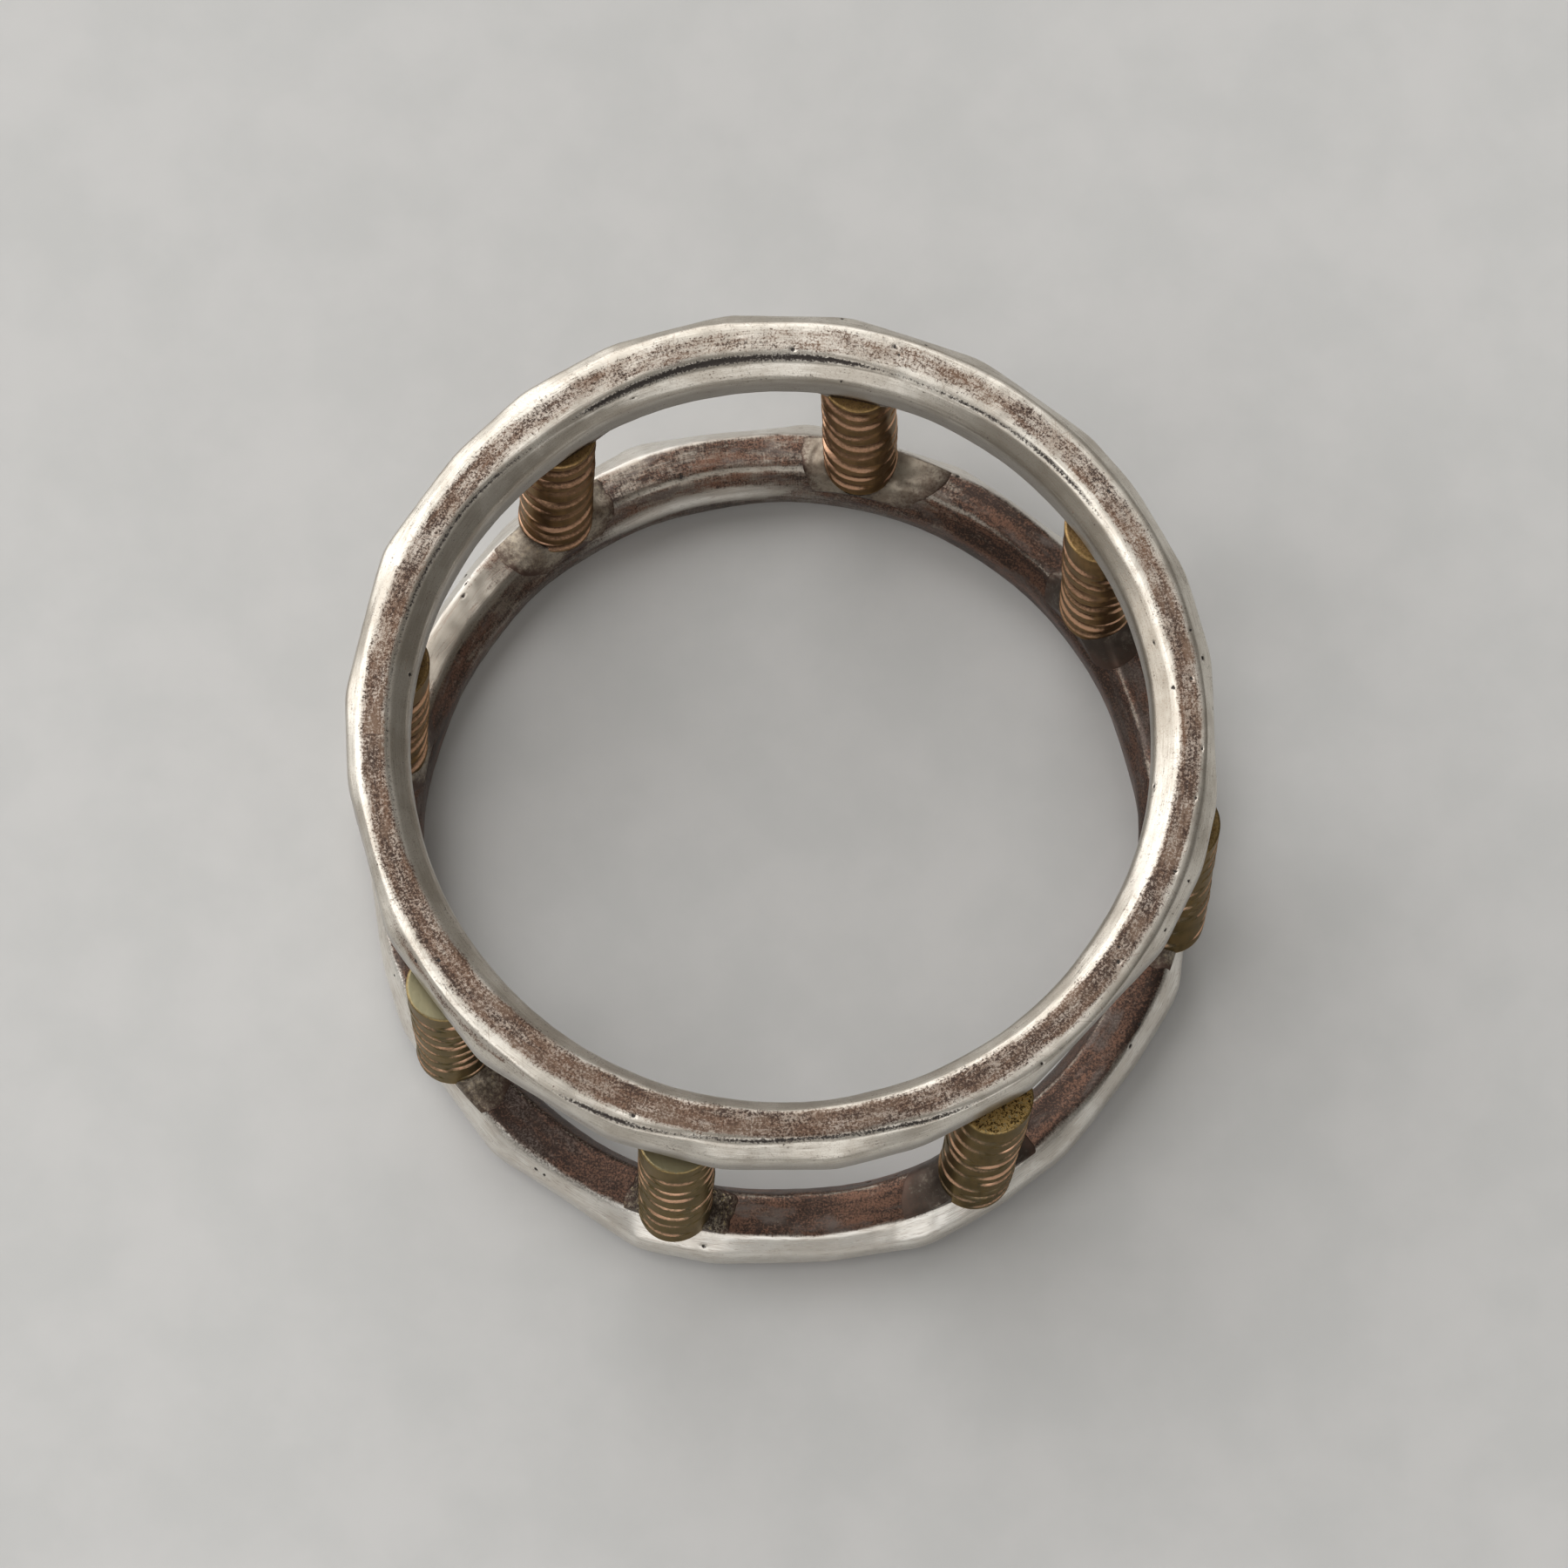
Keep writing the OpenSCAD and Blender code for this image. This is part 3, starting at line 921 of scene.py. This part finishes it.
# Solder past each rod's foot, in millimetres: clockwise, anticlockwise, then how granular it is
# and how dark it is
POOLS = {1: (1.20, 0.50, 0.0, 0.0), 2: (0.45, 0.80, 0.15, 0.05), 3: (0.30, 0.40, 0.2, 0.4),
         4: (0.30, 0.80, 0.25, 0.45), 5: (0.20, 0.45, 0.9, 0.60), 6: (0.95, 0.60, 0.05, 0.85),
         7: (0.35, 0.30, 0.3, 0.5), 8: (0.60, 0.35, 0.05, 0.85)}
HEAD_POOL = (0.22, 0.22, 0.6, 0.3)

SPREAD_PAST = 0.10      # added to each pool's length along the hoop
SPREAD_ACROSS = 0.12    # how far a pool spreads towards the bore and away from it
SQUARENESS = 2.5        # power of the pool's rounded outline, where 2 is an ellipse
LEAST_SPREAD = 0.04
LEAST_CLIMB = 0.08
SINK_IN_ROD = 0.05      # how far inside the rod's skin the solder starts
SINK_IN_HOOP = 0.10     # how far inside the hoop its underside lies
EDGE_SINK = 0.03        # and how far inside it its edge ends
POOL_DEPTH = 0.085
# Band of the hoop's face that the solder keeps to, outside the bore
BAND_START = 0.10
FOOT_BAND_END = 1.30
HEAD_BAND_END = 1.08


def solder_spread(rod, turn, clockwise, anticlockwise, rng):
    """How far the solder spreads from a rod's skin at each angle round the rod."""
    sideways = np.sin(turn)
    long_side = rod.radius + SPREAD_PAST + np.where(sideways > 0, anticlockwise, clockwise)
    short_side = rod.radius + SPREAD_ACROSS
    outline = np.abs(sideways / long_side) ** SQUARENESS + np.abs(np.cos(turn) / short_side) ** SQUARENESS
    spread = outline ** (-1 / SQUARENESS) - rod.radius
    spread = soften_round(spread, 2) * (1 + 0.08 * ripple(turn, rng.integers(1000), 3, 9))
    spread += 0.02 * ripple(turn, rng.integers(1000), 6, 24)
    return np.maximum(spread, LEAST_SPREAD)


def solder_place(rod, end, spread, t, around_rod, band_end):
    """Where the solder's points lie on the face, as x and y, from the rod at t = 0 to the edge at 1."""
    distance = rod.radius - SINK_IN_ROD + (spread[None, :] + SINK_IN_ROD) * t
    x = end[0] + distance * np.cos(around_rod + rod.angle)
    y = end[1] + distance * np.sin(around_rod + rod.angle)
    radial = np.hypot(x, y)
    squeeze = np.clip(radial, BORE_R + BAND_START, BORE_R + band_end) / radial
    return x * squeeze, y * squeeze


def solder_height(rod, spread, climb, t, around_rod, granular, dirty):
    """How high the solder stands off the hoop: a fillet up the rod, a pool, and lumps and grit."""
    fillet = climb[None, :] * np.exp(-spread[None, :] * t / (0.12 + 0.20 * dirty))
    steepness = 6.0 if granular == 0 else 2.0
    edge = np.sqrt(1 - t**steepness)
    pool = POOL_DEPTH * edge * smooth_step(0.10, 0.40, spread)[None, :]
    lumps = (0.007 + 0.008 * granular) * dents(around_rod, 6 * t, 400 + rod.number, 24, 3, 14, 0.6)
    grit = 0.012 * granular * dents(around_rod, 14 * t, 500 + rod.number, 40, 20, 60, 3.0)
    height = (fillet + pool) * edge + (lumps + grit) * edge
    height[-1] = -EDGE_SINK
    return height


def solder_attributes(rod, spread, t, turn, granular, dirty):
    """What the solder material reads: dark by the rod, a brown rim by the edge, and its grain."""
    rim = bump_at((1 - t) * (spread[None, :] + SINK_IN_ROD), 0.10 if granular == 0 else 0.22)
    rim *= np.clip(0.65 + 0.35 * ripple(turn, 600 + rod.number, 1, 5), 0.25, 1.0)
    rim = np.maximum(rim, 0.18 + 0.42 * t**2)
    hidden = np.ones_like(t[::-UNDER_STRIDE])
    near_rod = 0.75 * np.exp(-spread[None, :] * t / 0.10)
    dark = np.concatenate([np.maximum(near_rod, dirty), hidden])
    return {"dark": dark, "grain": np.full_like(dark, granular), "rim": np.concatenate([rim, hidden])}


def make_solder(rod, hoop, at_foot, material):
    """Solder that climbs a rod's end and spreads over the hoop's face."""
    rng = np.random.default_rng(300 + rod.number + (0 if at_foot else 50))
    clockwise, anticlockwise, granular, dirty = POOLS[rod.number] if at_foot else HEAD_POOL
    end = rod.foot if at_foot else rod.head
    turn = np.linspace(0, TURN, SOLDER_TURN_STEPS, endpoint=False)
    t, around_rod = np.meshgrid(np.linspace(0, 1, SOLDER_RISE_STEPS), turn, indexing="ij")
    spread = solder_spread(rod, turn, clockwise, anticlockwise, rng)
    climb = 0.20 + 0.25 * dirty + 0.05 * ripple(turn, rng.integers(1000), 2, 9)
    climb = np.maximum(climb, LEAST_CLIMB)
    x, y = solder_place(rod, end, spread, t, around_rod, FOOT_BAND_END if at_foot else HEAD_BAND_END)
    ground = hoop.face_height(x.ravel(), y.ravel(), at_foot).reshape(x.shape)
    away = 1 if at_foot else -1
    height = solder_height(rod, spread, climb, t, around_rod, granular, dirty)
    skin = np.stack([x, y, ground + away * height], -1)
    under = np.stack([x, y, ground - away * SINK_IN_HOOP], -1)[::-UNDER_STRIDE]
    rows = np.concatenate([skin, under])
    faces = grid_faces(len(rows), SOLDER_TURN_STEPS, True, True)
    if at_foot:
        faces = faces[:, ::-1]
    attributes = solder_attributes(rod, spread, t, turn, granular, dirty)
    place = "lower" if at_foot else "upper"
    return make_piece(f"{place}_joint_{rod.number}", rows.reshape(-1, 3), faces.tolist(), attributes,
                      material, f"{place}_solder_{rod.number}")


# ---------------------------------------------------------------- camera, floor and light, in metres

CAMERA_TILT = math.radians(13.9)        # off the finger hole's axis, towards the near side
CAMERA_AWAY = 0.2663
CAMERA_TARGET = Vector((0.00007, 0.00146, 0.00092))
CAMERA_LENS = 252.06                    # in millimetres, on a sensor 36 mm wide
CAMERA_SENSOR = 36.0
FLOOR_HALF = 0.4
FLOOR_Z = -0.00002                      # just under the face that the ring rests on
BRIGHT_SIDE = (-0.75, 0.55, 0.35)       # towards the brightest part of the studio
STUDIO_DIM = rgb(0.34, 0.325, 0.30)
STUDIO_BRIGHT = rgb(0.95, 0.92, 0.88)
STUDIO_STRENGTH = 0.50


def set_camera():
    """A long lens almost straight above, leaning a little towards the near side."""
    data = bpy.data.cameras.new("camera")
    data.lens = CAMERA_LENS
    data.sensor_width = CAMERA_SENSOR
    data.clip_start = 0.01
    data.clip_end = 5.0
    camera = bpy.data.objects.new("camera", data)
    direction = Vector((0, -math.sin(CAMERA_TILT), math.cos(CAMERA_TILT)))
    camera.location = CAMERA_TARGET + CAMERA_AWAY * direction
    camera.rotation_euler = (CAMERA_TILT, 0, 0)
    bpy.context.scene.collection.objects.link(camera)
    bpy.context.scene.camera = camera


def add_floor():
    """A plain square floor."""
    mesh = bpy.data.meshes.new("floor")
    corners = [(x * FLOOR_HALF, y * FLOOR_HALF, FLOOR_Z) for x, y in ((-1, -1), (1, -1), (1, 1), (-1, 1))]
    mesh.from_pydata(corners, [], [(0, 1, 2, 3)])
    mesh.materials.append(floor_material())
    floor = bpy.data.objects.new("floor", mesh)
    bpy.context.scene.collection.objects.link(floor)


def add_softbox(name, place, size, watts):
    """A rectangular area light at place, facing the ring."""
    data = bpy.data.lights.new(name, "AREA")
    data.shape = "RECTANGLE"
    data.size, data.size_y = size
    data.energy = watts
    light = bpy.data.objects.new(name, data)
    light.location = place
    light.rotation_euler = (-Vector(place)).to_track_quat("-Z", "Y").to_euler()
    bpy.context.scene.collection.objects.link(light)


def add_light():
    """A studio that is brightest up and to the left, and darkest low on the right."""
    world = bpy.data.worlds.new("studio")
    world.use_nodes = True
    bpy.context.scene.world = world
    w = Nodes(world.node_tree)
    direction = w.node("ShaderNodeTexCoord").outputs["Generated"]
    inputs = {0: direction, 1: tuple(Vector(BRIGHT_SIDE).normalized())}
    facing = w.node("ShaderNodeVectorMath", inputs, operation="DOT_PRODUCT").outputs["Value"]
    background = world.node_tree.nodes["Background"]
    w.feed(background.inputs["Color"], w.mixed(w.stepped(facing, -0.6, 0.9), STUDIO_DIM, STUDIO_BRIGHT))
    w.feed(background.inputs["Strength"], STUDIO_STRENGTH)
    add_softbox("key", place=(-0.27, 0.20, 0.26), size=(0.80, 0.80), watts=3.1)
    add_softbox("near_fill", place=(0.02, -0.34, 0.22), size=(0.50, 0.30), watts=0.45)
    bpy.context.scene.view_settings.view_transform = "Standard"


# ---------------------------------------------------------------- the ring

set_camera()
add_floor()
add_light()

upper_silver = silver_material("upper_silver", UPPER_SILVER)
lower_silver = silver_material("lower_silver", LOWER_SILVER)
gold = gold_material()
solder = solder_material()

rods = [Rod(number) for number in range(1, POSTS + 1)]
upper = make_upper_hoop()
lower = make_lower_hoop([rod.angle for rod in rods])
upper.piece("upper_hoop_forged", upper_silver, "upper_hoop", "upper_silver")
lower.piece("lower_hoop_forged", lower_silver, "lower_hoop", "lower_silver")
for rod in rods:
    make_rod(rod, gold)
    make_solder(rod, lower, True, solder)
    make_solder(rod, upper, False, solder)
